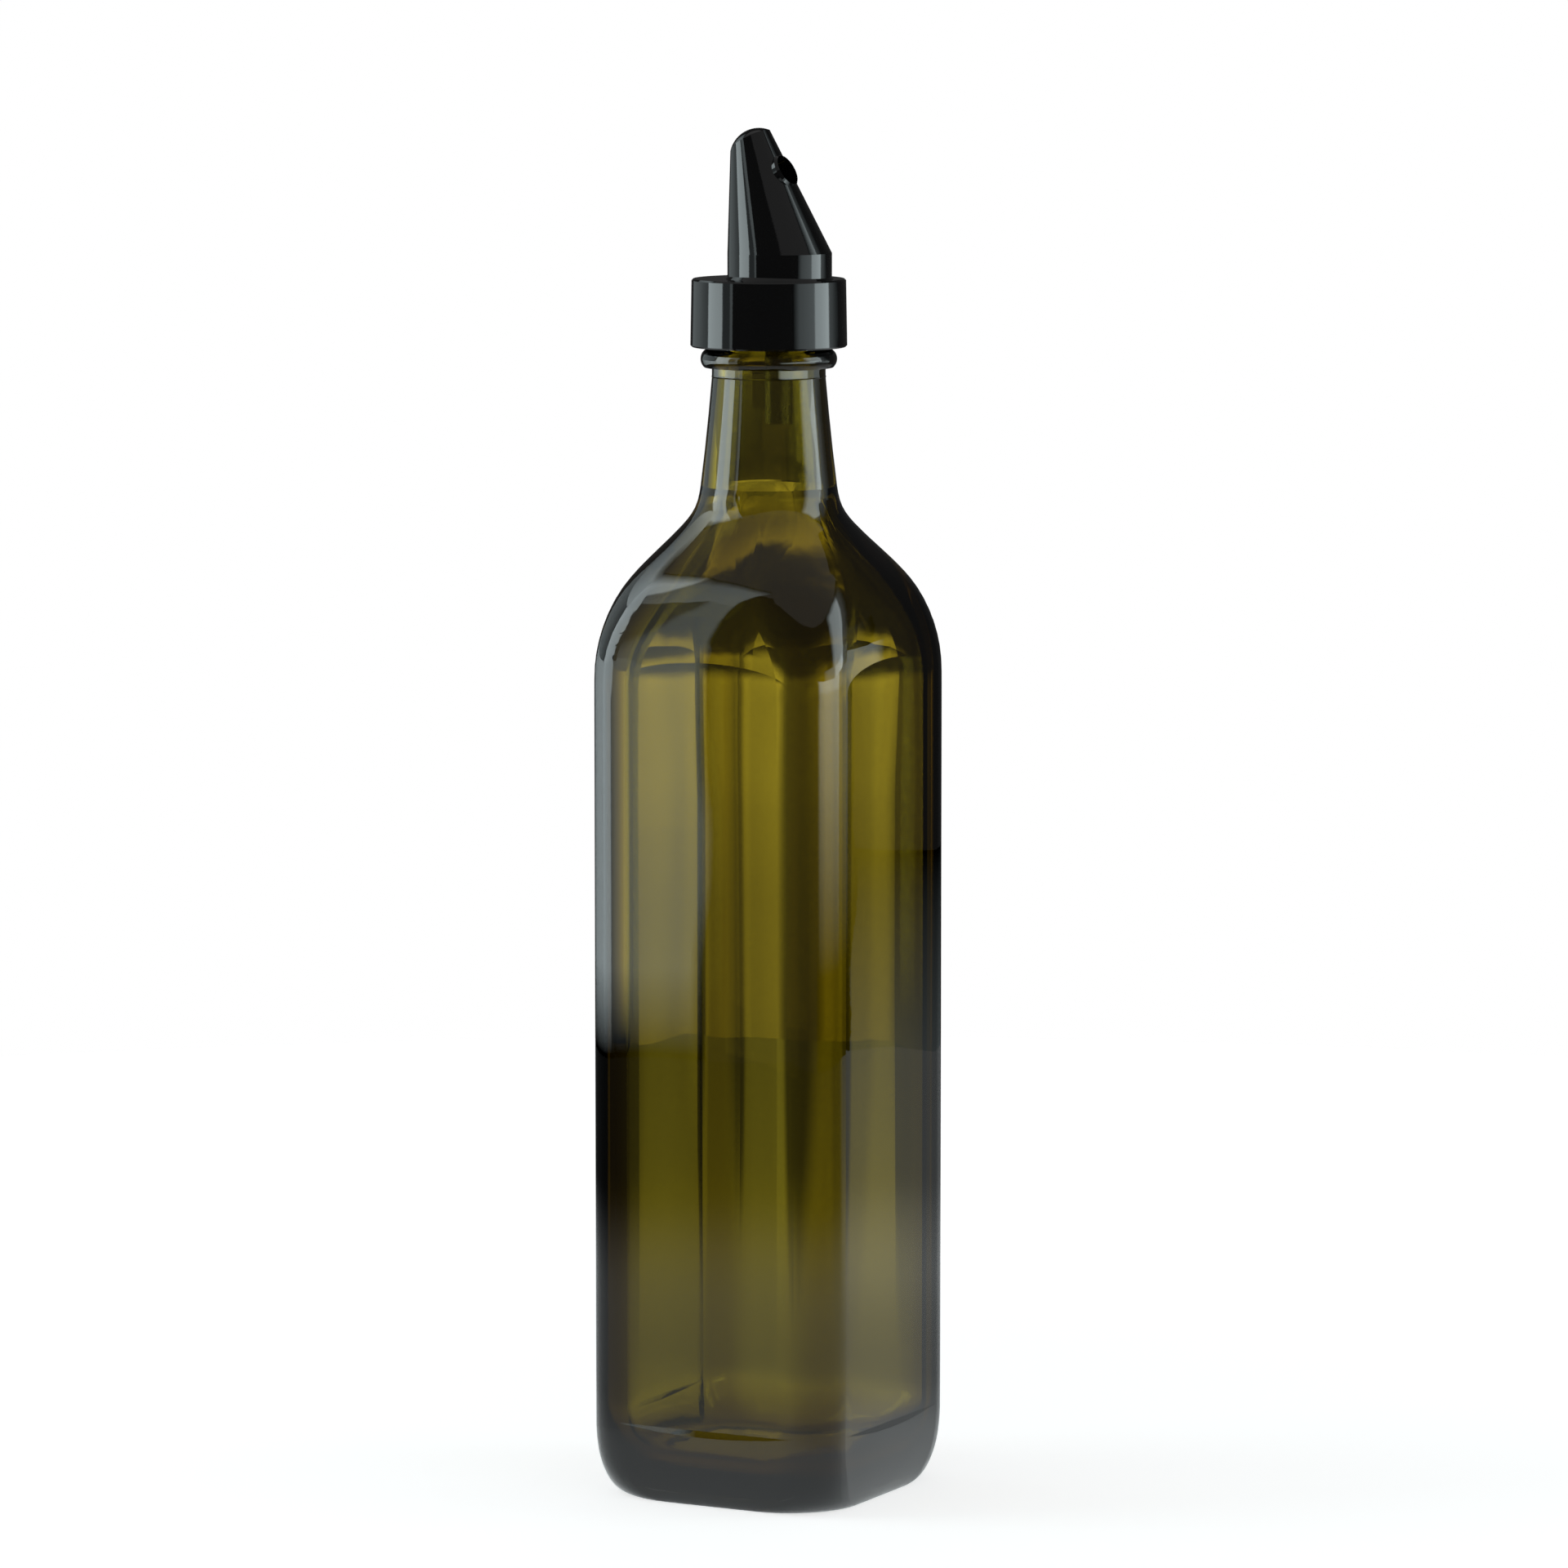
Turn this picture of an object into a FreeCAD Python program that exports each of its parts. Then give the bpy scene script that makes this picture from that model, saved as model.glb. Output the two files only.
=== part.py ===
"""Square oil bottle with a screw-on pourer, as a parametric FreeCAD document.

Frame: millimetres, +Z up, origin at the centre of the base on the surface that the bottle
stands on. The four glass faces look along +X, -X, +Y and -Y, and the spout pours towards +X.

Pieces, each one solid in its own file:
  bottle   glass: rounded square body, heel, label panels, square-to-round shoulder, neck, finish
  pourer   black moulding: screw collar with the hollow slanted spout and its outlet lip
  insert   seal disc clamped on the mouth, with its plug skirt, oil hole and air tube
"""
import FreeCAD, Part
import math
import os
import Sketcher

os.makedirs("parts", exist_ok=True)
doc = FreeCAD.newDocument("OilBottle")
sheet = doc.addObject("Spreadsheet::Sheet", "Dims")


class Size:
    """A length, ratio or angle that carries its value and the expression that it is bound by."""

    def __init__(self, value, text):
        self.value = float(value)
        self.text = text

    def join(self, other, sign, value):
        text = other.text if isinstance(other, Size) else repr(round(float(other), 6))
        return Size(value, f"({self.text} {sign} {text})")

    def __add__(self, other):
        return self.join(other, "+", self.value + number(other))

    def __sub__(self, other):
        return self.join(other, "-", self.value - number(other))

    def __mul__(self, other):
        return self.join(other, "*", self.value * number(other))

    def __truediv__(self, other):
        return self.join(other, "/", self.value / number(other))

    def __neg__(self):
        return Size(-self.value, f"(0 - {self.text})")


def number(item):
    return item.value if isinstance(item, Size) else float(item)


def as_size(item):
    return item if isinstance(item, Size) else Size(item, repr(round(float(item), 6)))


def sine(angle):
    return Size(math.sin(math.radians(angle.value)), f"sin({angle.text})")


def cosine(angle):
    return Size(math.cos(math.radians(angle.value)), f"cos({angle.text})")


def root(item):
    return Size(math.sqrt(item.value), f"sqrt({item.text})")


row = 0


def dim(alias, value, meaning):
    """One driving dimension: a named row of the sheet."""
    global row
    row += 1
    sheet.set(f"A{row}", alias)
    sheet.set(f"B{row}", str(value))
    sheet.set(f"C{row}", meaning)
    sheet.setAlias(f"B{row}", alias)
    return Size(value, f"Dims.{alias}")


# ---- driving dimensions -------------------------------------------------------------------
width = dim("bodyWidth", 66.8, "across two flats at the corner tangents")
corner = dim("cornerRadius", 9.4, "vertical corners of the body")
crown = dim("faceCrown", 1200, "radius of the slight bulge of each face")
glass = dim("wallGlass", 3.4, "glass thickness where the faces meet the corners")
inner_crown = dim("innerCrown", 350, "bow of the inside of each face, which thins the glass mid-face")
inner_ease = dim("innerEase", 1.0, "share by which the inner corners are rounder than even glass")

heel_high = dim("heelHeight", 17.2, "height of the rounded heel")
heel_in = dim("heelInset", 3.5, "how far the heel draws in at the base")
heel_corner = dim("heelCorner", 18.4, "corner radius of the base outline")
ring = dim("bearingRing", 6.0, "width of the bearing ring under the base")
push_up = dim("pushUp", 3.4, "height of the push-up")
floor_at = dim("floorHeight", 8.6, "inside floor above the table")
floor_in = dim("floorInset", 8.0, "how far the inside heel draws in")
floor_corner = dim("floorCorner", 12.4, "how round the corners of the inside floor are drawn")
floor_high = dim("floorHeel", 14.0, "height of the inside heel")

panel_low = dim("panelLow", 17.4, "lowest point of the ledge under the label panels")
panel_ledge = dim("panelLedge", 1.6, "height of that sloped ledge")
panel_high = dim("panelHigh", 210.0, "the panels run out into the shoulder below this")
panel_side = dim("panelSide", 0.6, "margin between a panel and the corner")

shoulder_at = dim("shoulderStart", 198.0, "where the shoulder leaves the walls")
lead_in = dim("shoulderLeadIn", 4.0, "straight run that the shoulder's surfaces take in below it")
shoulder_arc = dim("shoulderRadius", 36.2, "convex arc of the shoulder, along its corners")
shoulder_lean = dim("shoulderLean", 47.0, "steepest lean of the shoulder from upright")
root_arc = dim("neckRootRadius", 14.4, "concave arc from shoulder to neck")
root_half = dim("neckRoot", 16.4, "neck radius where that arc ends")
neck_lean = dim("neckLean", 5.8, "taper of the neck from upright")

neck_top = dim("neckTop", 13.65, "neck radius under the bead")
bead_at = dim("beadBottom", 272.3, "underside of the bead")
bead_high = dim("beadHeight", 4.0, "height of the bead")
bead_half = dim("beadRadius", 16.55, "outer radius of the bead")
bead_round = dim("beadRound", 1.05, "how far the bead's face swells")
bead_bow = dim("beadBow", 2.7, "radius of the bead's face")
neck_bow = dim("neckBow", 600.0, "slight hollow of the neck's taper")
seam_drop = dim("seamDrop", 2.4, "neck ring's parting line below the bead")
seam_proud = dim("seamProud", 0.15, "how far that line stands out")
rim_edge = dim("rimEdge", 1.0, "broken edge of the mouth")
finish_half = dim("finishRadius", 14.8, "radius of the plain finish under the collar")
mouth_at = dim("mouthHeight", 290.0, "top of the glass")
bore_half = dim("boreRadius", 10.7, "radius of the bore at the mouth")

collar_low = dim("collarBottom", 277.2, "lower edge of the collar")
collar_top = dim("collarTop", 293.5, "top face of the collar")
collar_foot = dim("collarFoot", 18.8, "collar radius at its lower edge")
collar_head = dim("collarHead", 18.52, "collar radius at its top edge")
collar_bore = dim("collarBore", 15.9, "radius of the collar's bore")
cap_edge = dim("collarEdge", 0.4, "broken edges of the collar")

seal = dim("sealThick", 1.5, "thickness of the seal disc")
seal_half = dim("sealRadius", 15.0, "radius of the seal disc")
plug_deep = dim("plugDepth", 9.0, "depth of the plug skirt in the bore")
plug_wall = dim("plugWall", 1.3, "wall of the plug skirt")
plug_gap = dim("plugGap", 0.05, "clearance of the skirt in the bore")
tube_half = dim("tubeRadius", 3.3, "outer radius of the air tube")
tube_bore = dim("tubeBore", 2.2, "bore radius of the air tube")
tube_out = dim("tubeOffset", 2.6, "tube axis from the bottle axis")
tube_end = dim("tubeEnd", 258.8, "lower end of the tube")
oil_half = dim("oilHole", 3.0, "radius of the oil hole")
oil_out = dim("oilOffset", 4.6, "oil hole from the bottle axis, away from the tube")

spout_half = dim("spoutRadius", 12.6, "half the length of the spout's foot, along its lean")
spout_back = dim("spoutBack", 9.65, "upright back of the spout from the bottle axis")
spout_knee = dim("spoutKnee", 299.7, "where the slanted front begins")
spout_lean = dim("spoutLean", 28.5, "lean of the slanted front from upright")
spout_crown = dim("spoutCrown", 322.4, "centre height of the domed top")
dome_half = dim("domeRadius", 7.0, "radius of the domed top")
spout_wall = dim("spoutWall", 1.9, "wall of the spout")
foot_flare = dim("spoutFlare", 0.4, "small flare where the spout meets the collar")

outlet_at = dim("outletHeight", 319.4, "height of the outlet's centre")
outlet_half = dim("outletRadius", 3.75, "radius of the outlet")
lip_half = dim("lipRadius", 4.45, "radius of the outlet's lip")
lip_proud = dim("lipProud", 0.25, "how far the lip stands out from the slanted front")
lip_edge = dim("lipEdge", 0.6, "broken edge of the lip")


# ---- small helpers ------------------------------------------------------------------------
def new_body(name):
    body = doc.addObject("PartDesign::Body", name)
    body.Label = name
    return body


def plane(body, role):
    return next(f for f in body.Origin.OriginFeatures if f.Role == role)


def new_sketch(body, name, role, height=None):
    sketch = body.newObject("Sketcher::SketchObject", name)
    sketch.AttachmentSupport = [(plane(body, role), "")]
    sketch.MapMode = "FlatFace"
    if height is not None:
        sketch.AttachmentOffset.Base.z = height.value
        sketch.setExpression("AttachmentOffset.Base.z", height.text)
    return sketch


def datum(sketch, kind, refs, size):
    """A driving constraint bound to a size."""
    index = sketch.addConstraint(Sketcher.Constraint(kind, *refs, size.value))
    sketch.setExpression(f"Constraints[{index}]", size.text)


def place(sketch, geo, point, x, y):
    """Holds one point of the sketch at x, y from its origin."""
    for kind, size, axis in (("DistanceX", as_size(x), -2), ("DistanceY", as_size(y), -1)):
        if size.value == 0:
            sketch.addConstraint(Sketcher.Constraint("PointOnObject", geo, point, axis))
        elif size.value > 0:
            datum(sketch, kind, (-1, 1, geo, point), size)
        else:
            datum(sketch, kind, (geo, point, -1, 1), -size)


def outline(sketch, corners):
    """A closed profile. Each entry is x, y and, for a bowed edge to the next point, its radius:
    positive when the edge bows to the left of its travel, negative when to the right."""
    points = [FreeCAD.Vector(number(c[0]), number(c[1]), 0) for c in corners]
    count = len(corners)
    first = sketch.GeometryCount
    for i, entry in enumerate(corners):
        start, end = points[i], points[(i + 1) % count]
        if len(entry) == 2:
            sketch.addGeometry(Part.LineSegment(start, end), False)
            continue
        bow = entry[2].value
        chord = end - start
        sag = abs(bow) - math.sqrt(max(bow * bow - chord.Length ** 2 / 4, 0))
        left = FreeCAD.Vector(-chord.y, chord.x, 0).normalize()
        middle = (start + end) * 0.5 + left * math.copysign(sag, bow)
        sketch.addGeometry(Part.Arc(start, middle, end), False)
    starts = [tip_of(sketch, first + i, points[i]) for i in range(count)]
    for i in range(count):
        after = (i + 1) % count
        links = (first + i, 3 - starts[i], first + after, starts[after])
        sketch.addConstraint(Sketcher.Constraint("Coincident", *links))
    for i, entry in enumerate(corners):
        place(sketch, first + i, starts[i], entry[0], entry[1])
        if len(entry) == 3:
            radius = entry[2] if entry[2].value > 0 else -entry[2]
            datum(sketch, "Radius", (first + i,), radius)


def tip_of(sketch, geo, point):
    """Which end of a sketch edge lies at the point: an arc may start at either."""
    start = sketch.getPoint(geo, 1)
    return 1 if (start - point).Length < 1e-6 else 2


def ring_of(sketch, radius, x=0.0, y=0.0):
    """A circle of the given radius at x, y."""
    circle = Part.Circle(FreeCAD.Vector(number(x), number(y), 0), FreeCAD.Vector(0, 0, 1), radius.value)
    geo = sketch.addGeometry(circle, False)
    datum(sketch, "Radius", (geo,), radius)
    if number(x) == 0 and number(y) == 0:
        sketch.addConstraint(Sketcher.Constraint("Coincident", geo, 3, -1, 1))
    else:
        place(sketch, geo, 3, x, y)


def soft_square(sketch, reach, radius, face):
    """Eight tangent arcs: four corners centred at (+-reach, +-reach) and four bowed faces."""
    k, r, f = reach.value, radius.value, face.value
    back = math.sqrt((f - r) ** 2 - k * k)
    swing = math.atan2(k, back)
    up = FreeCAD.Vector(0, 0, 1)
    for i in range(4):
        out = i * math.pi / 2
        hub = FreeCAD.Vector(math.cos(out), math.sin(out), 0) * (k - back)
        bow = Part.Circle(hub, up, f)
        sketch.addGeometry(Part.ArcOfCircle(bow, out - swing, out + swing), False)
        mid = out + math.pi / 4
        hub = FreeCAD.Vector(math.copysign(k, math.cos(mid)), math.copysign(k, math.sin(mid)), 0)
        bend = Part.Circle(hub, up, r)
        sketch.addGeometry(Part.ArcOfCircle(bend, out + swing, out + math.pi / 2 - swing), False)
    for i in range(8):
        sketch.addConstraint(Sketcher.Constraint("Tangent", i, 2, (i + 1) % 8, 1))
    for i in range(4):
        mid = math.pi / 4 + i * math.pi / 2
        x = reach if math.cos(mid) > 0 else -reach
        y = reach if math.sin(mid) > 0 else -reach
        place(sketch, 2 * i + 1, 3, x, y)
        datum(sketch, "Radius", (2 * i + 1,), radius)
        datum(sketch, "Radius", (2 * i,), face)


def oval_of(sketch, long, short, x):
    """An ellipse along X, centred on the X axis."""
    hub = FreeCAD.Vector(x.value, 0, 0)
    geo = sketch.addGeometry(Part.Ellipse(hub, long.value, short.value), False)
    sketch.exposeInternalGeometry(geo)
    place(sketch, geo, 3, x, 0)
    sketch.addConstraint(Sketcher.Constraint("Horizontal", geo + 1))
    datum(sketch, "Distance", (geo + 1,), long * 2)
    datum(sketch, "Distance", (geo + 2,), short * 2)


def soft_round(sketch, radius):
    """A circle in eight arcs, to match the edges of the soft squares below it."""
    turns = [as_size(90.0 * (i // 2) + (14.0 if i % 2 else -14.0)) for i in range(8)]
    outline(sketch, [(radius * cosine(t), radius * sine(t), -radius) for t in turns])


# ---- features -----------------------------------------------------------------------------
def pad(body, name, sketch, length, cut=False, upward=True):
    kind = "PartDesign::Pocket" if cut else "PartDesign::Pad"
    feature = body.newObject(kind, name)
    feature.Profile = sketch
    feature.Length = length.value
    feature.setExpression("Length", length.text)
    feature.Reversed = cut == upward
    return feature


def turn(body, name, sketch, axis="V_Axis", cut=False):
    kind = "PartDesign::Groove" if cut else "PartDesign::Revolution"
    feature = body.newObject(kind, name)
    feature.Profile = sketch
    feature.ReferenceAxis = (sketch, [axis])
    feature.Angle = 360
    return feature


def loft(body, name, sketches, cut=False, ruled=False):
    kind = "PartDesign::SubtractiveLoft" if cut else "PartDesign::AdditiveLoft"
    feature = body.newObject(kind, name)
    feature.Profile = sketches[0]
    feature.Sections = [(s, [""]) for s in sketches[1:]]
    feature.Ruled = ruled
    return feature


# ---- glass --------------------------------------------------------------------------------
def heel(body, tag, skin, ease, bow, low, high, draw, base_corner, steps):
    """Quarter-ellipse heel: from the drawn-in outline at its foot up to the full section."""
    sections = []
    for i, degrees in enumerate(steps):
        angle = Size(degrees, repr(degrees))
        drawn = as_size(1) - sine(angle)
        rise = as_size(1) - cosine(angle)
        sketch = new_sketch(body, f"{tag}Heel{i}", "XY_Plane", low + high * rise)
        bend = (corner - skin) * (as_size(1) + ease) + (base_corner - corner) * drawn
        reach = width / 2 - skin - draw * drawn - bend
        soft_square(sketch, reach, bend, bow - skin)
        sections.append(sketch)
    return loft(body, f"{tag}HeelLoft", sections)


def shoulder_line(shares, turns):
    """The shoulder along a corner: an arc, a straight lean and an arc back into the neck.
    Gives height, reach from the axis and lean for each section, lowest first: one for each
    share of the lower arc's lean, and then one for each turn of the upper arc."""
    top_reach = (width / 2 - corner) * math.sqrt(2) + corner
    line = [(shoulder_at - lead_in, top_reach, as_size(0))]
    for share in shares:
        lean = shoulder_lean * share
        high = shoulder_at + shoulder_arc * sine(lean)
        line.append((high, top_reach - shoulder_arc * (as_size(1) - cosine(lean)), lean))
    high, reach, lean = line[-1]
    low_reach = root_half + root_arc * (cosine(neck_lean) - cosine(shoulder_lean))
    slope = sine(shoulder_lean) / cosine(shoulder_lean)
    high = high + (reach - low_reach) / slope
    for i in range(turns + 1):
        lean = shoulder_lean + (neck_lean - shoulder_lean) * (i / turns)
        rise = root_arc * (sine(shoulder_lean) - sine(lean))
        line.append((high + rise, low_reach - root_arc * (cosine(lean) - cosine(shoulder_lean)), lean))
    return line


def shoulder(body, tag, skin, ease, bow, shares, turns):
    """Loft of soft squares whose corners open and whose faces bow until the neck is round."""
    line = shoulder_line(shares, turns)
    start, end = line[1][0], line[-1][0]
    squareness = (width / 2 - corner) / (width / 2)
    sections = []
    for i, (high, reach, lean) in enumerate(line):
        fade = cosine((high - start) / (end - start) * 90) if i > 1 else as_size(1)
        level = high - skin * sine(lean)
        inward = skin * cosine(lean)
        sketch = new_sketch(body, f"{tag}Shoulder{i}", "XY_Plane", level)
        if i == len(line) - 1:
            soft_round(sketch, reach - inward)
        else:
            square = squareness * fade
            whole = square * math.sqrt(2) + (as_size(1) - square)
            bend = reach * (as_size(1) - square) / whole
            rounder = (as_size(1) - fade) * (as_size(1) - fade)
            face = as_size(1) / ((as_size(1) - rounder) / bow + rounder / root_half)
            eased = (bend - inward) * ease * fade
            soft_square(sketch, reach * square / whole - eased, bend - inward + eased, face - inward)
        sections.append(sketch)
    return loft(body, f"{tag}ShoulderLoft", sections)


def walls(body, tag, skin, ease, bow, low):
    sketch = new_sketch(body, f"{tag}Section", "XY_Plane", low)
    eased = (corner - skin) * ease
    soft_square(sketch, width / 2 - corner - eased, corner - skin + eased, bow - skin)
    return pad(body, f"{tag}Walls", sketch, shoulder_at - lead_in - low)


neck_root = shoulder_line((0.0, 1.0), 1)[-1][0]

bottle = new_body("bottle")
zero = as_size(0)
outer_skin = (zero, zero, crown)
heel(bottle, "Outer", *outer_skin, zero, heel_high, heel_in, heel_corner, (0.0, 20.0, 40.0, 60.0, 90.0))
walls(bottle, "Outer", *outer_skin, heel_high)
shoulder(bottle, "Outer", *outer_skin, (0.0, 0.16, 0.36, 0.58, 0.8, 1.0), 3)

neck = new_sketch(bottle, "NeckProfile", "XZ_Plane")
outline(neck, [
    (0, neck_root - 1),
    (root_half - 1, neck_root - 1),
    (root_half, neck_root, neck_bow),
    (neck_top, bead_at - seam_drop),
    (neck_top + seam_proud, bead_at - seam_drop + seam_proud),
    (neck_top, bead_at - seam_drop + seam_proud * 2),
    (neck_top, bead_at),
    (bead_half - bead_round, bead_at, -bead_bow),
    (bead_half - bead_round, bead_at + bead_high),
    (finish_half, bead_at + bead_high + 0.6),
    (finish_half, mouth_at - rim_edge),
    (finish_half - rim_edge, mouth_at),
    (0, mouth_at),
])
turn(bottle, "Neck", neck)

# Label panels: each bowed face is cut flat above a sloped ledge, so the step fades out sideways.
corner_hub = width / 2 - corner
crown_hub = corner_hub - root((crown - corner) * (crown - corner) - corner_hub * corner_hub)
panel_edge = corner_hub - panel_side
level = crown_hub + root(crown * crown - panel_edge * panel_edge)
mid_face = crown_hub + crown
clear = width / 2 + 3
foot_at = panel_low - (clear - mid_face) / (mid_face - level) * panel_ledge
profile = [(clear, foot_at), (clear, panel_high), (level, panel_high), (level, panel_low + panel_ledge)]
for role in ("XZ_Plane", "YZ_Plane"):
    recess = new_sketch(bottle, f"Panels{role[:2]}", role)
    outline(recess, profile)
    outline(recess, [(-x, z) for x, z in profile])
    cut = pad(bottle, f"PanelCut{role[:2]}", recess, clear * 2, cut=True)
    cut.Midplane = True

# Push-up under the base, leaving the bearing ring.
base_bend = heel_corner - ring
base_half = width / 2 - heel_in - ring
hollow = []
for i, (rise, draw) in enumerate(((-0.5, 0.0), (0.55, 0.35), (0.85, 0.65), (1.0, 1.1))):
    sketch = new_sketch(bottle, f"PushUp{i}", "XY_Plane", push_up * rise)
    bend = base_bend - ring * (draw * 0.4)
    soft_square(sketch, base_half - ring * draw - bend, bend, crown)
    hollow.append(sketch)
loft(bottle, "PushUp", hollow, cut=True, ruled=True)

# Inside of the glass: the same forms, drawn in by the glass thickness.
cavity = new_body("Cavity")
inner_skin = (glass, inner_ease, inner_crown)
heel(cavity, "Inner", *inner_skin, floor_at, floor_high, floor_in, floor_corner, (0.0, 30.0, 60.0, 90.0))
walls(cavity, "Inner", *inner_skin, floor_at + floor_high)
shoulder(cavity, "Inner", *inner_skin, (0.0, 0.3, 0.65, 1.0), 2)
throat = new_sketch(cavity, "ThroatProfile", "XZ_Plane")
inner_root = neck_root - glass * sine(neck_lean)
inner_half = root_half - glass * cosine(neck_lean)
outline(throat, [
    (0, inner_root - 1),
    (inner_half - 1, inner_root - 1),
    (inner_half, inner_root),
    (bore_half, bead_at - seam_drop),
    (bore_half, mouth_at + 2),
    (0, mouth_at + 2),
])
turn(cavity, "Throat", throat)
inside = bottle.newObject("PartDesign::Boolean", "Hollow")
inside.Type = "Cut"
inside.setObjects([cavity])
bottle.Tip = inside

# ---- pourer -------------------------------------------------------------------------------
half_lean = spout_lean / 2
fall = sine(spout_lean) / cosine(spout_lean)
oval = root(as_size(1) - sine(half_lean) * sine(half_lean) / (cosine(half_lean) * cosine(half_lean)))


def leaning_sketch(body, name, x, z, lean):
    """A sketch on the XZ plane with its origin at x, z, turned back by the given lean."""
    sketch = new_sketch(body, name, "XZ_Plane")
    turned = FreeCAD.Rotation(FreeCAD.Vector(0, 0, 1), lean.value)
    sketch.AttachmentOffset = FreeCAD.Placement(FreeCAD.Vector(x.value, z.value, 0), turned)
    sketch.setExpression("AttachmentOffset.Base.x", x.text)
    sketch.setExpression("AttachmentOffset.Base.y", z.text)
    sketch.setExpression("AttachmentOffset.Rotation.Angle", lean.text)
    return sketch


def spout_form(body, tag, half, back, low):
    """A round cone that leans so far that its back is upright, cut off at the knee, on an oval
    foot that matches the cut. The half length is that at the knee."""
    rise = half * 2 / fall
    slope = sine(half_lean) / cosine(half_lean)
    cone = leaning_sketch(body, f"{tag}ConeProfile", -back, spout_knee + rise, half_lean)
    long = rise / cosine(half_lean) + 4
    outline(cone, [(0, 0), (0, -long), (long * slope, -long)])
    turn(body, f"{tag}Cone", cone)
    below = new_sketch(body, f"{tag}BelowKnee", "XY_Plane", spout_knee)
    ring_of(below, spout_half * 4)
    pad(body, f"{tag}KneeCut", below, spout_half * 2, cut=True, upward=False)
    foot = new_sketch(body, f"{tag}FootOutline", "XY_Plane", low)
    oval_of(foot, half, half * oval, half - back)
    pad(body, f"{tag}Foot", foot, spout_knee - low)


pourer = new_body("pourer")
seat = mouth_at + seal
spout_form(pourer, "Spout", spout_half, spout_back, collar_top - 0.5)
collar = new_sketch(pourer, "CollarProfile", "XZ_Plane")
outline(collar, [
    (collar_bore, collar_low),
    (collar_foot - cap_edge, collar_low),
    (collar_foot, collar_low + cap_edge),
    (collar_head, collar_top - cap_edge),
    (collar_head - cap_edge, collar_top),
    (0, collar_top),
    (0, seat),
    (collar_bore, seat),
])
turn(pourer, "Collar", collar)
flare = leaning_sketch(pourer, "FlareProfile", spout_half - spout_back, as_size(0), as_size(0))
flare_half = spout_half + foot_flare
flare_rise = flare_half - spout_half * oval + 0.1
outline(flare, [
    (0, collar_top - 0.5),
    (flare_half, collar_top - 0.5),
    (flare_half, collar_top),
    (flare_half - flare_rise, collar_top + flare_rise),
    (0, collar_top + flare_rise),
])
turn(pourer, "Flare", flare)

dome_high = spout_crown + dome_half
dome = leaning_sketch(pourer, "DomeProfile", dome_half - spout_back, as_size(0), as_size(0))
outline(dome, [
    (dome_half, spout_crown),
    (spout_half * 2, spout_crown),
    (spout_half * 2, dome_high * 1.1),
    (0, dome_high * 1.1),
    (0, dome_high, dome_half),
])
turn(pourer, "Dome", dome, cut=True)

# Outlet: a short round lip square to the slanted front, and its bore.
outlet_x = spout_half * 2 - spout_back - fall * (outlet_at - spout_knee)
lip = leaning_sketch(pourer, "LipProfile", outlet_x, outlet_at, spout_lean)
outline(lip, [
    (-spout_wall, 0),
    (lip_proud, 0),
    (lip_proud, lip_half - lip_edge),
    (lip_proud - lip_edge, lip_half),
    (-spout_wall, lip_half),
])
turn(pourer, "Lip", lip, axis="H_Axis")

# Room inside the spout: the same form, drawn in by the wall, open to the collar below.
chamber = new_body("Chamber")
inner_run = spout_half * 2 - spout_wall - spout_wall / cosine(spout_lean)
spout_form(chamber, "Room", inner_run / 2, spout_back - spout_wall, seat - 1)
above = new_sketch(chamber, "CeilingOutline", "XY_Plane", spout_crown + spout_wall)
ring_of(above, spout_half * 4)
pad(chamber, "Ceiling", above, spout_half * 4, cut=True)
emptied = pourer.newObject("PartDesign::Boolean", "Emptied")
emptied.Type = "Cut"
emptied.setObjects([chamber])
pourer.Tip = emptied

mouth = leaning_sketch(pourer, "OutletProfile", outlet_x, outlet_at, spout_lean)
outline(mouth, [
    (-outlet_half * 1.5, 0),
    (lip_proud + 1, 0),
    (lip_proud + 1, outlet_half),
    (-outlet_half * 1.5, outlet_half),
])
turn(pourer, "Outlet", mouth, axis="H_Axis", cut=True)

# ---- insert -------------------------------------------------------------------------------
insert = new_body("insert")
skirt_out = bore_half - plug_gap
skirt_in = skirt_out - plug_wall
disc = new_sketch(insert, "DiscProfile", "XZ_Plane")
outline(disc, [
    (0, mouth_at),
    (skirt_in, mouth_at),
    (skirt_in, mouth_at - plug_deep),
    (skirt_out, mouth_at - plug_deep),
    (skirt_out, mouth_at),
    (seal_half, mouth_at),
    (seal_half, seat),
    (0, seat),
])
turn(insert, "Disc", disc)
tube = new_sketch(insert, "TubeOutline", "XY_Plane", tube_end)
ring_of(tube, tube_half, tube_out)
pad(insert, "Tube", tube, seat - tube_end)
bore = new_sketch(insert, "BoreOutline", "XY_Plane", tube_end - 1)
ring_of(bore, tube_bore, tube_out)
pad(insert, "TubeBore", bore, seat - tube_end + 2, cut=True)
oil = new_sketch(insert, "OilHoleOutline", "XY_Plane", mouth_at - 1)
ring_of(oil, oil_half, -oil_out)
pad(insert, "OilHole", oil, seal + 2, cut=True)

# ---- checks and files ---------------------------------------------------------------------
doc.recompute()
for item in doc.Objects:
    bad = [s for s in item.State if s in ("Invalid", "Error")]
    if bad:
        raise RuntimeError(f"{item.Label} did not compute: {bad} {item.getStatusString()}")
for piece in (bottle, pourer, insert):
    shape = piece.Shape
    if shape.isNull() or not shape.isValid() or len(shape.Solids) != 1:
        raise RuntimeError(f"{piece.Label} is not one valid solid")
    box = shape.optimalBoundingBox(False)
    print(piece.Label, "volume", round(shape.Volume / 1000, 2), "cm3,", len(shape.Faces), "faces, x",
          round(box.XMin, 2), round(box.XMax, 2), "z", round(box.ZMin, 2), round(box.ZMax, 2))
    shape.exportStep(f"parts/{piece.Label}.step")
print("room inside", round(cavity.Shape.Volume / 1000, 1), "cm3")
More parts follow.
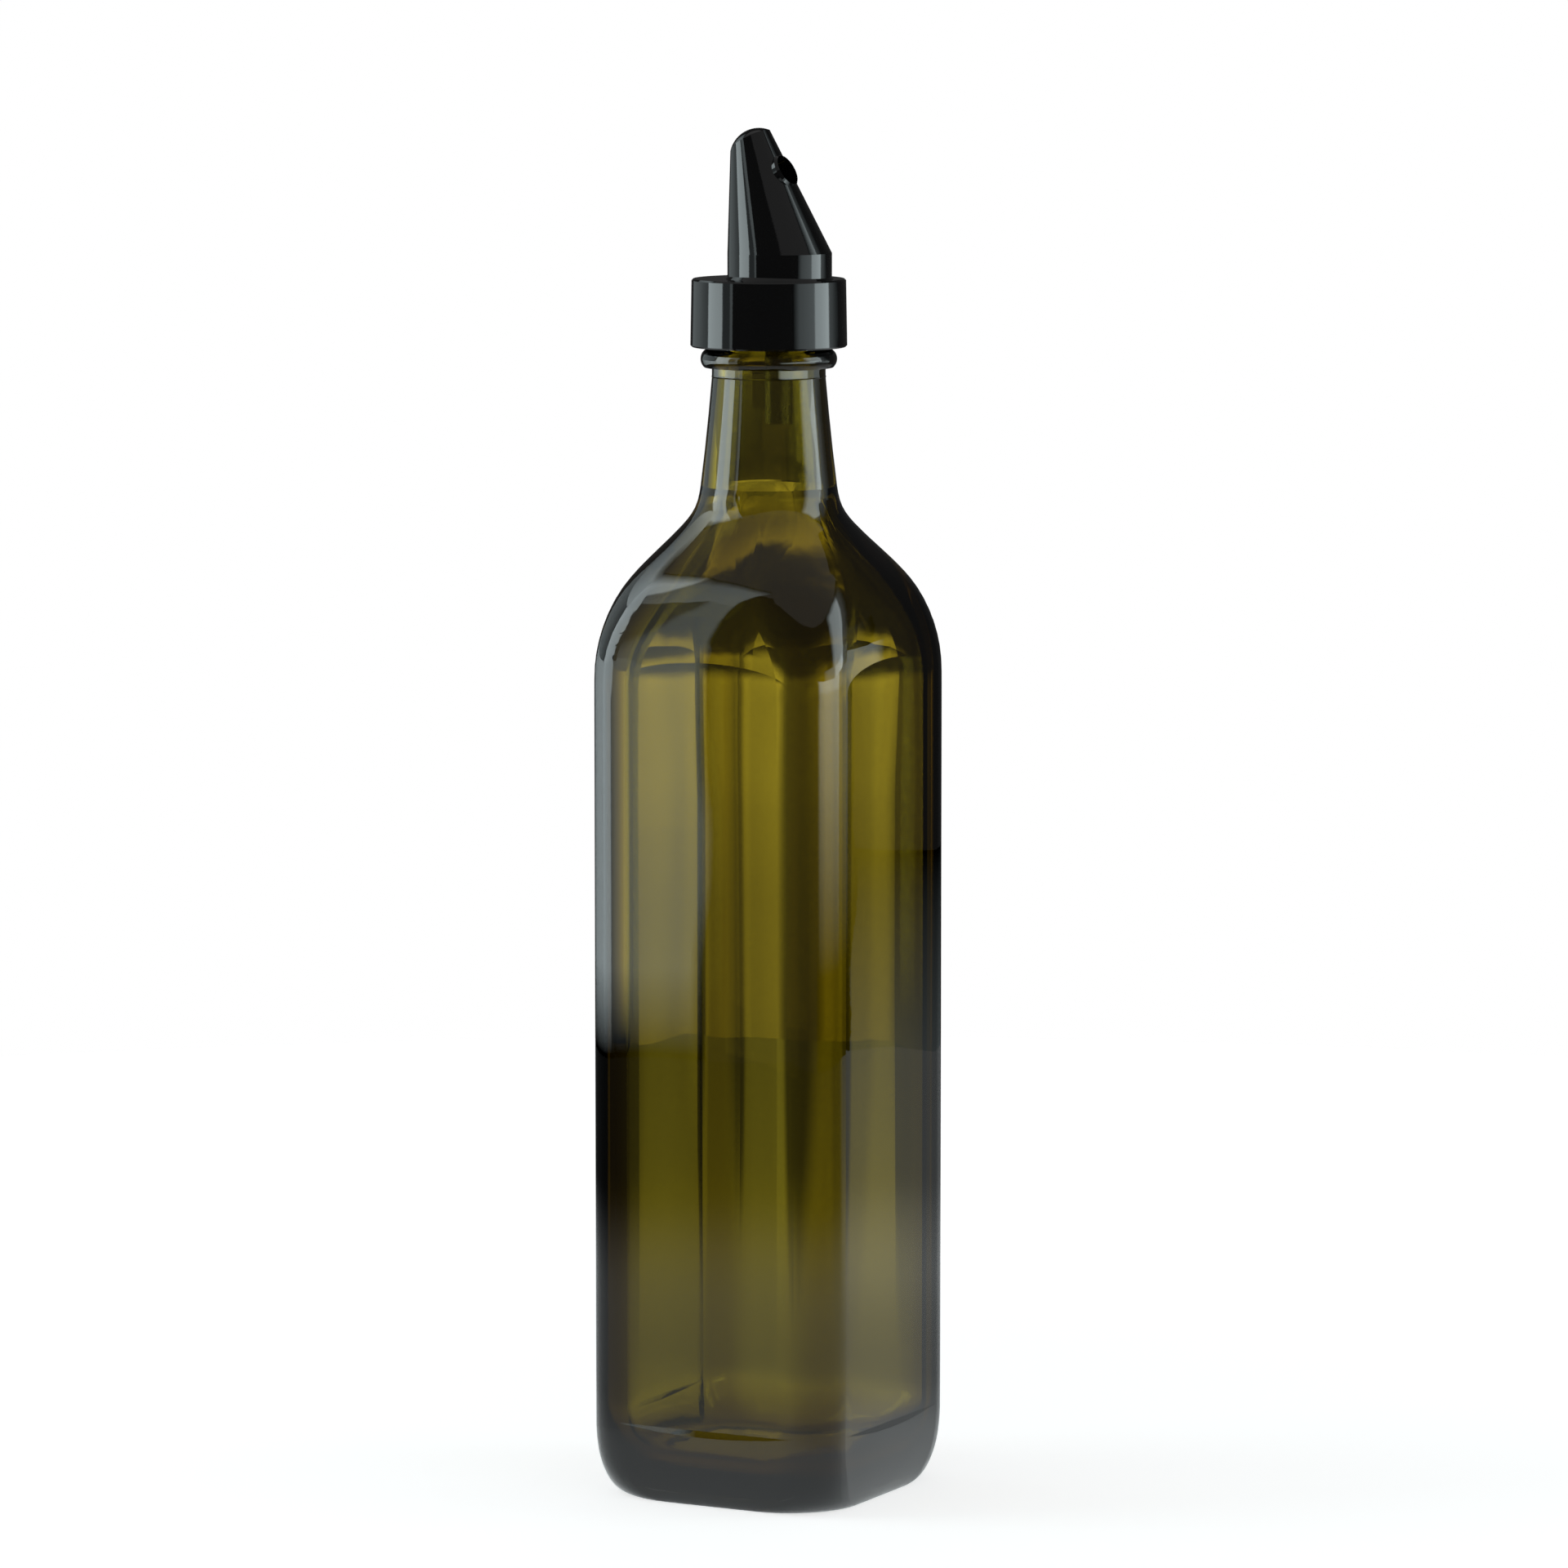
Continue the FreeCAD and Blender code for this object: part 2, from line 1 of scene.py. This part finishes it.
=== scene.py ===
"""Square oil bottle in olive glass with a black screw-on pourer, on a white table.

Metres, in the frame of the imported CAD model: +Z up, the bottle's axis at the origin, the spout
pouring towards +X. Azimuths are degrees round the bottle: 0 stands at -Y and 90 at +X.
"""

import math

import bpy
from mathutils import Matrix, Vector

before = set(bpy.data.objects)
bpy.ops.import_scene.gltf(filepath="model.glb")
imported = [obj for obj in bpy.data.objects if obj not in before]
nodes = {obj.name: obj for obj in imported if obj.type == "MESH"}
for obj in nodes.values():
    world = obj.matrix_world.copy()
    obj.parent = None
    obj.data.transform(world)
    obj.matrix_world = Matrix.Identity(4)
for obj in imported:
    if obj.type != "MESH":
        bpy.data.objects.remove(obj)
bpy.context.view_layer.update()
scene = bpy.context.scene
scene.view_settings.view_transform = "Standard"

# ---- viewpoint ----------------------------------------------------------------------------
VIEW_AZIMUTH = 27.7
VIEW_DISTANCE = 1.938
VIEW_HEIGHT = 0.3987
VIEW_TILT = 6.68  # degrees below level
VIEW_ASIDE = 0.00364
LENS = 185.9


def heading(azimuth):
    """Unit vector from the axis out to an azimuth."""
    turn = math.radians(azimuth)
    return Vector((math.sin(turn), -math.cos(turn), 0))


def add_camera():
    data = bpy.data.cameras.new("Camera")
    data.lens = LENS
    data.sensor_width = 36
    data.clip_end = 50
    camera = bpy.data.objects.new("Camera", data)
    scene.collection.objects.link(camera)
    out = heading(VIEW_AZIMUTH)
    aside = Vector((-out.y, out.x, 0))
    camera.location = out * VIEW_DISTANCE + aside * VIEW_ASIDE + Vector((0, 0, VIEW_HEIGHT))
    down = math.radians(VIEW_TILT)
    gaze = -out * math.cos(down) - Vector((0, 0, math.sin(down)))
    camera.rotation_euler = gaze.to_track_quat("-Z", "Y").to_euler()
    scene.camera = camera


# ---- shader helpers -----------------------------------------------------------------------
def new_material(name):
    material = bpy.data.materials.new(name)
    material.use_nodes = True
    material.node_tree.nodes.clear()
    return material, material.node_tree


def add(tree, kind, settings=None, **sockets):
    """Adds a node. Settings are its properties; sockets take a value or another node's output."""
    made = tree.nodes.new(kind)
    for key, value in (settings or {}).items():
        setattr(made, key, value)
    for key, value in sockets.items():
        wanted = key.replace("_", " ")
        if wanted.startswith("in "):
            socket = made.inputs[int(wanted[3:])]
        else:
            socket = made.inputs[wanted]
        if isinstance(value, bpy.types.NodeSocket):
            tree.links.new(value, socket)
        else:
            socket.default_value = value
    return made


def math_node(tree, operation, first, second=0.0):
    return add(tree, "ShaderNodeMath", {"operation": operation}, in_0=first, in_1=second).outputs[0]


def times(tree, first, *others):
    for other in others:
        first = math_node(tree, "MULTIPLY", first, other)
    return first


def plus(tree, first, second):
    return math_node(tree, "ADD", first, second)


def smooth(tree, value, start, end, first=0.0, last=1.0):
    """Eases from the first number to the last while the value goes from start to end."""
    return add(tree, "ShaderNodeMapRange", {"interpolation_type": "SMOOTHSTEP"}, Value=value,
               From_Min=start, From_Max=end, To_Min=first, To_Max=last).outputs["Result"]


def finish_surface(tree, shader, volume=None):
    out = add(tree, "ShaderNodeOutputMaterial", Surface=shader.outputs[0])
    if volume is not None:
        tree.links.new(volume.outputs[0], out.inputs["Volume"])


def new_group(name, inputs, outputs):
    """A shader node group with float, colour or vector sockets."""
    group = bpy.data.node_groups.new(name, "ShaderNodeTree")
    for label, kind, value in inputs:
        socket = group.interface.new_socket(label, in_out="INPUT", socket_type=kind)
        if value is not None:
            socket.default_value = value
    for label, kind in outputs:
        group.interface.new_socket(label, in_out="OUTPUT", socket_type=kind)
    start = group.nodes.new("NodeGroupInput")
    end = group.nodes.new("NodeGroupOutput")
    return group, start.outputs, end.inputs


FLOAT = "NodeSocketFloat"
VECTOR = "NodeSocketVector"
WAVE_FADE = 0.03  # height over which the waves of the wall die out below the shoulder


def blown_group():
    """Uneven thickness of blown glass: tall slow waves on the inside of the body alone. The
    inside is what lies within a rounded square about the axis."""
    group, given, wanted = new_group(
        "BlownWall",
        [("Wave Scale", FLOAT, 40.0), ("Stretch", FLOAT, 0.2), ("Depth", FLOAT, 0.001),
         ("Square Half", FLOAT, 0.024), ("Corner", FLOAT, 0.008), ("Body Top", FLOAT, 0.2),
         ("Normal", VECTOR, None)],
        [("Normal", VECTOR)],
    )
    place = add(group, "ShaderNodeTexCoord").outputs["Object"]
    split = add(group, "ShaderNodeSeparateXYZ", Vector=place).outputs
    beyond = []
    for axis in ("X", "Y"):
        past = math_node(group, "SUBTRACT", math_node(group, "ABSOLUTE", split[axis]),
                         given["Square Half"])
        beyond.append(math_node(group, "POWER", math_node(group, "MAXIMUM", past, 0.0), 2.0))
    reach = math_node(group, "SQRT", plus(group, *beyond))
    inside = math_node(group, "LESS_THAN", reach, given["Corner"])
    below_top = math_node(group, "SUBTRACT", given["Body Top"], split["Z"])
    fade = smooth(group, below_top, 0.0, WAVE_FADE)
    tall = add(group, "ShaderNodeCombineXYZ", X=split["X"], Y=split["Y"],
               Z=times(group, split["Z"], given["Stretch"])).outputs[0]
    wave = add(group, "ShaderNodeTexNoise", Vector=tall, Scale=given["Wave Scale"], Detail=0.0)
    height = times(group, wave.outputs["Fac"], inside, fade)
    bump = add(group, "ShaderNodeBump", Strength=1.0, Distance=given["Depth"], Height=height,
               Normal=given["Normal"])
    group.links.new(bump.outputs["Normal"], wanted["Normal"])
    return group


def ripple_group():
    """Slow ripple and fine grain of a moulded surface, as a normal and a mask."""
    group, given, wanted = new_group(
        "Ripple",
        [("Slow Scale", FLOAT, 30.0), ("Slow Depth", FLOAT, 0.00002),
         ("Fine Scale", FLOAT, 600.0), ("Fine Depth", FLOAT, 0.000002)],
        [("Normal", VECTOR), ("Mask", FLOAT)],
    )
    place = add(group, "ShaderNodeTexCoord").outputs["Object"]
    slow = add(group, "ShaderNodeTexNoise", Vector=place, Scale=given["Slow Scale"], Detail=1.0)
    fine = add(group, "ShaderNodeTexNoise", Vector=place, Scale=given["Fine Scale"], Detail=2.0)
    first = add(group, "ShaderNodeBump", Distance=given["Slow Depth"],
                Height=slow.outputs["Fac"], Strength=1.0)
    second = add(group, "ShaderNodeBump", Distance=given["Fine Depth"],
                 Height=fine.outputs["Fac"], Strength=1.0, Normal=first.outputs["Normal"])
    group.links.new(second.outputs["Normal"], wanted["Normal"])
    group.links.new(fine.outputs["Fac"], wanted["Mask"])
    return group


def use(tree, group, **values):
    made = tree.nodes.new("ShaderNodeGroup")
    made.node_tree = group
    for key, value in values.items():
        made.inputs[key.replace("_", " ")].default_value = value
    return made


# ---- finishes -----------------------------------------------------------------------------
GLASS_IOR = 1.52
GLASS_TINT = (0.70, 0.645, 0.05, 1)
GLASS_DENSITY = 700.0
PLASTIC_IOR = 1.5


def olive_glass(ripple, blown):
    material, tree = new_material("OliveGlass")
    surface = use(tree, ripple, Slow_Scale=16.0, Slow_Depth=0.0002, Fine_Scale=420.0,
                  Fine_Depth=0.0000005)
    wall = use(tree, blown, Wave_Scale=40.0, Stretch=0.16, Depth=0.0008)
    tree.links.new(surface.outputs["Normal"], wall.inputs["Normal"])
    shader = add(tree, "ShaderNodeBsdfPrincipled", Base_Color=(1, 1, 1, 1), Roughness=0.0,
                 IOR=GLASS_IOR, Transmission_Weight=1.0, Normal=wall.outputs["Normal"])
    tint = add(tree, "ShaderNodeVolumeAbsorption", Color=GLASS_TINT, Density=GLASS_DENSITY)
    finish_surface(tree, shader, tint)
    return material


def black_plastic(name, ripple, tone, roughness):
    material, tree = new_material(name)
    surface = use(tree, ripple, Slow_Scale=90.0, Slow_Depth=0.00003, Fine_Scale=2500.0,
                  Fine_Depth=0.000002)
    shader = add(tree, "ShaderNodeBsdfPrincipled", Base_Color=(tone, tone, tone * 1.05, 1),
                 IOR=PLASTIC_IOR, Normal=surface.outputs["Normal"])
    spread = add(tree, "ShaderNodeMapRange", Value=surface.outputs["Mask"], From_Min=0.3,
                 From_Max=0.7, To_Min=roughness * 0.75, To_Max=roughness * 1.3)
    tree.links.new(spread.outputs["Result"], shader.inputs["Roughness"])
    finish_surface(tree, shader)
    return material


def dress(name, material):
    for slot in nodes[name].material_slots:
        slot.material = material
    if not nodes[name].material_slots:
        nodes[name].data.materials.append(material)


# ---- studio -------------------------------------------------------------------------------
TABLE_RADIUS = 0.74
PANEL_DISTANCE = 0.75
FOOT_DISTANCE = 0.80
BACKDROP_DISTANCE = 0.95
CEILING_RADIUS = 1.2
CEILING_HEIGHT = 1.3
SHEET_STRIPS = 24
DISC_CORNERS = 96
WHITE = (1, 1, 1, 1)
DAYLIGHT = (0.85, 0.98, 1.0, 1)
# Tint of the painted light that mirrors and glass see in place of the table top.
PAINTED_LIGHT_WHITE = (0.93, 0.99, 1, 1)
SIDEWAYS = VIEW_AZIMUTH + 90
LIT_SECTOR = VIEW_AZIMUTH + 124
BOTTLE_REACH = 0.045
BACKDROP_IN_MIRRORS = 0.04
HELD_BACK = 0.45  # share of the table's mirrored level that glass doesn't pass on

# Brightness of the studio's sheets, as pairs of place and level. Round the bottle the place is
# an azimuth counted from the view line, in degrees, and upward it is a height in metres.
LEFT_ROUND = [(-150, 0.4), (-130, 1.4), (-110, 2.8), (-99, 3.4), (-98, 4.4), (-73, 4.2),
              (-71, 1.2), (-60, 1.5), (-55, 1.6), (-54.6, 0)]
PANELS = [
    ("LeftLow", PANEL_DISTANCE, LEFT_ROUND, [(-0.1, 0), (0.0, 0), (0.03, 1), (0.228, 1)]),
    ("LeftBand", PANEL_DISTANCE,
     [(-150, 0.4), (-122, 0.7), (-101, 0.6), (-99, 4.8), (-73, 4.8), (-71, 0.4), (-59.5, 0.4),
      (-58.5, 1.2), (-54.6, 1.3), (-54.5, 0)],
     [(0.228, 1), (0.6, 1)]),
    ("LeftHigh", PANEL_DISTANCE, LEFT_ROUND, [(0.6, 1), (0.9, 1), (1.05, 0)]),
    ("RightLow", PANEL_DISTANCE,
     [(18, 0), (25, 2.0), (44, 2.6), (84, 2.6), (87, 0.8), (121, 0.6), (122, 0)],
     [(-0.1, 0), (0.03, 0), (0.12, 1), (0.14, 1), (0.17, 1.6), (0.228, 1.6)]),
    ("RightBand", PANEL_DISTANCE,
     [(36, 0), (46, 1.2), (70, 1.8), (73, 4.8), (98, 5.4), (101, 0.9), (121, 0)],
     [(0.228, 1), (0.31, 1)]),
    ("RightHigh", PANEL_DISTANCE, [(62, 0), (73, 3.2), (98, 3.4), (101, 0.6), (116, 0)],
     [(0.31, 1), (0.8, 1), (0.92, 0)]),
    ("RightFoot", FOOT_DISTANCE, [(108, 0), (118, 0.35), (150, 0.3)],
     [(-0.1, 1), (-0.03, 1), (0.06, 0)]),
]
BACKDROP_ROUND = [(118, 0.6), (135, 0.3), (150, 0.18), (170.5, 0.18), (173, 0.35), (175.5, 1.0),
                  (178, 1.0), (180, 0.75), (182, 0.72), (185, 0.9), (186.5, 0.8), (190, 0.25),
                  (192, 0.15), (224, 0.12)]
BACKDROP_UPWARD = [(-0.1, 0.6), (0.02, 0.68), (0.06, 0.95), (0.115, 1.3), (0.14, 0.12),
                   (0.155, 0.02), (1.6, 0.03)]


def seen_by(tree, camera=0.0, glossy=0.0, glass=0.0, other=0.0):
    """One number for each kind of ray: camera, mirror, seen through glass, and the rest. A ray
    that comes through glass counts as a mirror's too, so it gets both levels, less the rest."""
    path = add(tree, "ShaderNodeLightPath").outputs
    total = times(tree, path["Is Camera Ray"], camera - other)
    for kind, level in (("Is Glossy Ray", glossy), ("Is Transmission Ray", glass)):
        total = plus(tree, total, times(tree, path[kind], level - other))
    return plus(tree, total, other)


def mesh_object(name, corners, faces):
    data = bpy.data.meshes.new(name)
    data.from_pydata(corners, [], faces)
    made = bpy.data.objects.new(name, data)
    scene.collection.objects.link(made)
    return made


def upright(name, first, last, distance, low, high):
    """An upright sheet curved round the axis between two azimuths, which are counted from the
    view line. Mirrors and glass see it, the camera doesn't."""
    corners = []
    for i in range(SHEET_STRIPS + 1):
        share = i / SHEET_STRIPS
        side = heading(VIEW_AZIMUTH + first + (last - first) * share) * distance
        corners += [side + Vector((0, 0, low)), side + Vector((0, 0, high))]
    faces = [(2 * i, 2 * i + 2, 2 * i + 3, 2 * i + 1) for i in range(SHEET_STRIPS)]
    sheet = mesh_object(name, corners, faces)
    layer = sheet.data.uv_layers.new(name="UVMap")
    for loop, corner in zip(layer.data, sheet.data.loops):
        loop.uv = (corner.vertex_index // 2 / SHEET_STRIPS, corner.vertex_index % 2)
    sheet.visible_camera = False
    return sheet


def add_disc(name, radius, height):
    ring = [heading(360 * i / DISC_CORNERS) * radius + Vector((0, 0, height))
            for i in range(DISC_CORNERS)]
    return mesh_object(name, ring, [tuple(range(DISC_CORNERS))])


def levels_along(tree, share, levels):
    """Brightness along one side of a sheet, from pairs of place and level in rising order. The
    share runs from 0 at the first place to 1 at the last."""
    first, last = levels[0][0], levels[-1][0]
    ramp = add(tree, "ShaderNodeValToRGB", Fac=share)
    top = max(level for spot, level in levels)
    stops = ramp.color_ramp.elements
    while len(stops) < len(levels):
        stops.new(0.5)
    for stop, (spot, level) in zip(stops, levels):
        stop.position = (spot - first) / (last - first)
        stop.color = (level / top, level / top, level / top, 1)
    return times(tree, ramp.outputs["Color"], top)


def lit_sheet(name, distance, round_levels, upward_levels):
    """An upright sheet with its own material, and the brightness that its levels give."""
    sheet = upright(name, round_levels[0][0], round_levels[-1][0], distance,
                    upward_levels[0][0], upward_levels[-1][0])
    material, tree = new_material(name)
    sheet.data.materials.append(material)
    place = add(tree, "ShaderNodeUVMap", {"uv_map": "UVMap"}).outputs["UV"]
    share = add(tree, "ShaderNodeSeparateXYZ", Vector=place).outputs
    level = times(tree, levels_along(tree, share["X"], round_levels),
                  levels_along(tree, share["Y"], upward_levels))
    return sheet, tree, level


def glow(tree, color, strength):
    finish_surface(tree, add(tree, "ShaderNodeEmission", Color=color, Strength=strength))


def hide_from_the_rest(card):
    """Leaves a card to mirrors and glass: it lights nothing and casts no shadow."""
    card.visible_camera = False
    card.visible_diffuse = False
    card.visible_shadow = False


def add_panel(name, distance, round_levels, upward_levels):
    """A diffuser whose brightness is given by azimuth and by height."""
    panel, tree, level = lit_sheet(name, distance, round_levels, upward_levels)
    seen = seen_by(tree, glossy=1.0, glass=0.5, other=0.4)
    glow(tree, DAYLIGHT, times(tree, level, seen))


def add_backdrop():
    """What the glass sees behind it: a soft window between dim cards. Mirrors see it dark."""
    sheet, tree, level = lit_sheet("Backdrop", BACKDROP_DISTANCE, BACKDROP_ROUND, BACKDROP_UPWARD)
    path = add(tree, "ShaderNodeLightPath").outputs
    through = times(tree, path["Is Transmission Ray"], level)
    mirrored = times(tree, path["Is Glossy Ray"], BACKDROP_IN_MIRRORS)
    glow(tree, WHITE, plus(tree, through, mirrored))
    hide_from_the_rest(sheet)


def add_ceiling():
    ceiling = add_disc("Ceiling", CEILING_RADIUS, CEILING_HEIGHT)
    material, tree = new_material("Ceiling")
    glow(tree, WHITE, seen_by(tree, glossy=0.3, glass=0.15))
    ceiling.data.materials.append(material)
    hide_from_the_rest(ceiling)


def distance_toward(tree, place, azimuth):
    """How far out towards an azimuth a place lies."""
    return add(tree, "ShaderNodeVectorMath", {"operation": "DOT_PRODUCT"}, in_0=place,
               in_1=heading(azimuth)).outputs["Value"]


def painted_reflection_level(tree, place, away):
    """Painted reflection: the table as mirrors see it, bright close to the bottle and in one sector
    further out.
    """
    facing = math_node(tree, "DIVIDE", distance_toward(tree, place, LIT_SECTOR), away)
    sector = times(tree, smooth(tree, facing, 0.8, 0.95, 0.0, 0.3),
                   smooth(tree, away, 0.2, 0.45))
    close = times(tree, smooth(tree, away, 0.08, 0.18, 0.95, 0.55),
                  smooth(tree, away, 0.3, 0.5, 1.0, 0.07))
    return plus(tree, sector, close)


def painted_shadow_and_light_level(tree, place, away):
    """The table as glass sees it: a painted shadow of the bottle close to it, and a painted pool of
    light, brightest far out along the view line and dimmer to its left."""
    sideways = distance_toward(tree, place, SIDEWAYS)
    beside = math_node(tree, "SUBTRACT", math_node(tree, "ABSOLUTE", sideways), BOTTLE_REACH)
    window = smooth(tree, math_node(tree, "DIVIDE", beside, away), 0.03, 0.115, 1.0, 0.2)
    right_half = smooth(tree, math_node(tree, "DIVIDE", sideways, away), 0.01, 0.06, 0.7, 1.0)
    return times(tree, window, right_half, smooth(tree, away, 0.1, 0.5, 0.04, 0.6),
                 smooth(tree, away, 0.4, TABLE_RADIUS, 1.0, 0.87))


def add_table():
    """Round white table top. It glows a little for the camera, so that only contact shadow
    shows, and more further out, where it meets the white background."""
    floor = add_disc("Floor", TABLE_RADIUS, 0)
    material, tree = new_material("TableTop")
    place = add(tree, "ShaderNodeTexCoord").outputs["Object"]
    away = add(tree, "ShaderNodeVectorMath", {"operation": "LENGTH"}, in_0=place).outputs["Value"]
    # Painted light: mirrors and glass see the table as a glowing card, with a painted reflection, a
    # painted shadow of the bottle and a painted pool of light on it.
    path = add(tree, "ShaderNodeLightPath").outputs
    held_back = times(tree, path["Is Transmission Ray"], HELD_BACK)
    mirrored = times(tree, painted_reflection_level(tree, place, away),
                     math_node(tree, "SUBTRACT", path["Is Glossy Ray"], held_back))
    through = times(tree, path["Is Transmission Ray"], painted_shadow_and_light_level(tree, place, away))
    plain_glow = times(tree, path["Is Camera Ray"], smooth(tree, away, 0.15, 0.55, 0.7, 0.82))
    top = add(tree, "ShaderNodeBsdfPrincipled", Base_Color=(0.9, 0.9, 0.9, 1), Roughness=0.6,
              Emission_Color=WHITE, Emission_Strength=plain_glow)
    card = add(tree, "ShaderNodeEmission", Color=PAINTED_LIGHT_WHITE,
               Strength=plus(tree, mirrored, through))
    indirect = plus(tree, path["Is Glossy Ray"], path["Is Transmission Ray"])
    both = add(tree, "ShaderNodeMixShader", Fac=indirect, in_1=top.outputs[0],
               in_2=card.outputs[0])
    finish_surface(tree, both)
    floor.data.materials.append(material)


def add_world():
    world = bpy.data.worlds.new("Studio")
    scene.world = world
    world.use_nodes = True
    tree = world.node_tree
    tree.nodes.clear()
    level = seen_by(tree, camera=1.0, glossy=0.06, glass=1.0, other=0.25)
    sky = add(tree, "ShaderNodeBackground", Color=WHITE, Strength=level)
    add(tree, "ShaderNodeOutputWorld", Surface=sky.outputs[0])


add_camera()
add_world()
add_table()
for panel in PANELS:
    add_panel(*panel)
add_backdrop()
add_ceiling()

ripple = ripple_group()
dress("bottle", olive_glass(ripple, blown_group()))
dress("pourer", black_plastic("PourerPlastic", ripple, tone=0.003, roughness=0.04))
dress("insert", black_plastic("InsertPlastic", ripple, tone=0.002, roughness=0.22))
